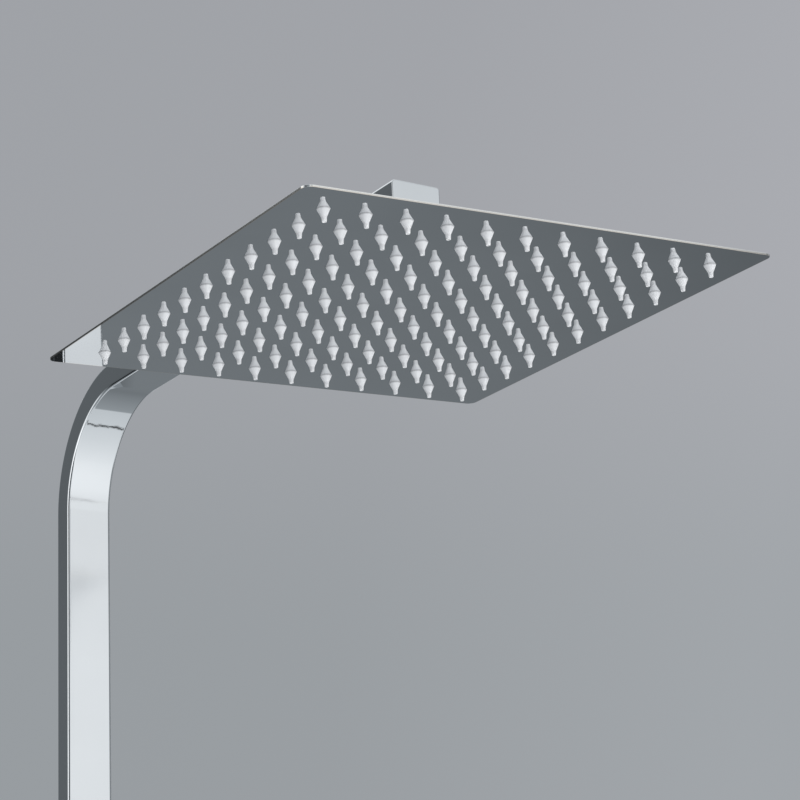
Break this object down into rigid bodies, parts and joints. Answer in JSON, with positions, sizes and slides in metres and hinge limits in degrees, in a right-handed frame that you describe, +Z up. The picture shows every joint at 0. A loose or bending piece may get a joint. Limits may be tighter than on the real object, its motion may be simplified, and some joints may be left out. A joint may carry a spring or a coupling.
{
  "type": "overhead rain shower",
  "caption": "Square thin overhead rain shower head with silicone nozzles, on a ball joint under the arm of a flat gooseneck riser tube with a union nut at its foot.",
  "frame": {"origin": "centre of the union nut's mouth at the riser's foot", "axes": "+Z up the riser, -Y along the arm towards the head, +X to the right seen from the front"},
  "size_m": [0.2998, 0.5813, 0.389],
  "materials": {
    "tube_chrome": "bright chrome plate on brass tube",
    "fitting_chrome": "bright chrome plate on turned brass",
    "head_steel": "mirror polished stainless steel sheet",
    "spring_steel": "plain stainless steel",
    "seal_rubber": "black moulded rubber",
    "silicone": "clear white silicone",
    "acetal": "white acetal"
  },
  "bodies": {
    "riser": {"riser_pipe": "tube_chrome", "arm_end_cap": "tube_chrome", "foot_adapter": "tube_chrome", "nut_retaining_ring": "spring_steel", "union_washer": "seal_rubber", "outlet_spigot": "tube_chrome", "spigot_washer": "seal_rubber", "filter_screen": "spring_steel", "flow_restrictor": "acetal", "swivel_coupling": "fitting_chrome", "shank_seal": "seal_rubber", "swivel_ball": "fitting_chrome"},
    "union": {"union_nut": "fitting_chrome"},
    "ball_ring": {"upper_liner": "acetal"},
    "ball_cup": {"lower_liner": "seal_rubber"},
    "head": {"inlet_collar": "head_steel", "nut_gasket": "acetal", "ball_nut": "fitting_chrome", "top_shell": "head_steel", "face_plate": "head_steel", "nozzles": "silicone", "spacer_studs": "spring_steel"}
  },
  "joints": [
    {"name": "union_spin", "type": "hinge", "parent": "riser", "child": "union", "pos_m": [0, 0, 0], "axis": [0, 0, 1], "continuous": true},
    {"name": "head_swivel", "type": "hinge", "parent": "riser", "child": "ball_ring", "pos_m": [0, -0.414, 0.3365], "axis": [0, 0, 1], "continuous": true},
    {"name": "head_tilt_front", "type": "hinge", "parent": "ball_ring", "child": "ball_cup", "pos_m": [0, -0.414, 0.3365], "axis": [1, 0, 0], "range_deg": [-10, 10]},
    {"name": "head_tilt_side", "type": "hinge", "parent": "ball_cup", "child": "head", "pos_m": [0, -0.414, 0.3365], "axis": [0, 1, 0], "range_deg": [-7.5, 12.5]}
  ]
}
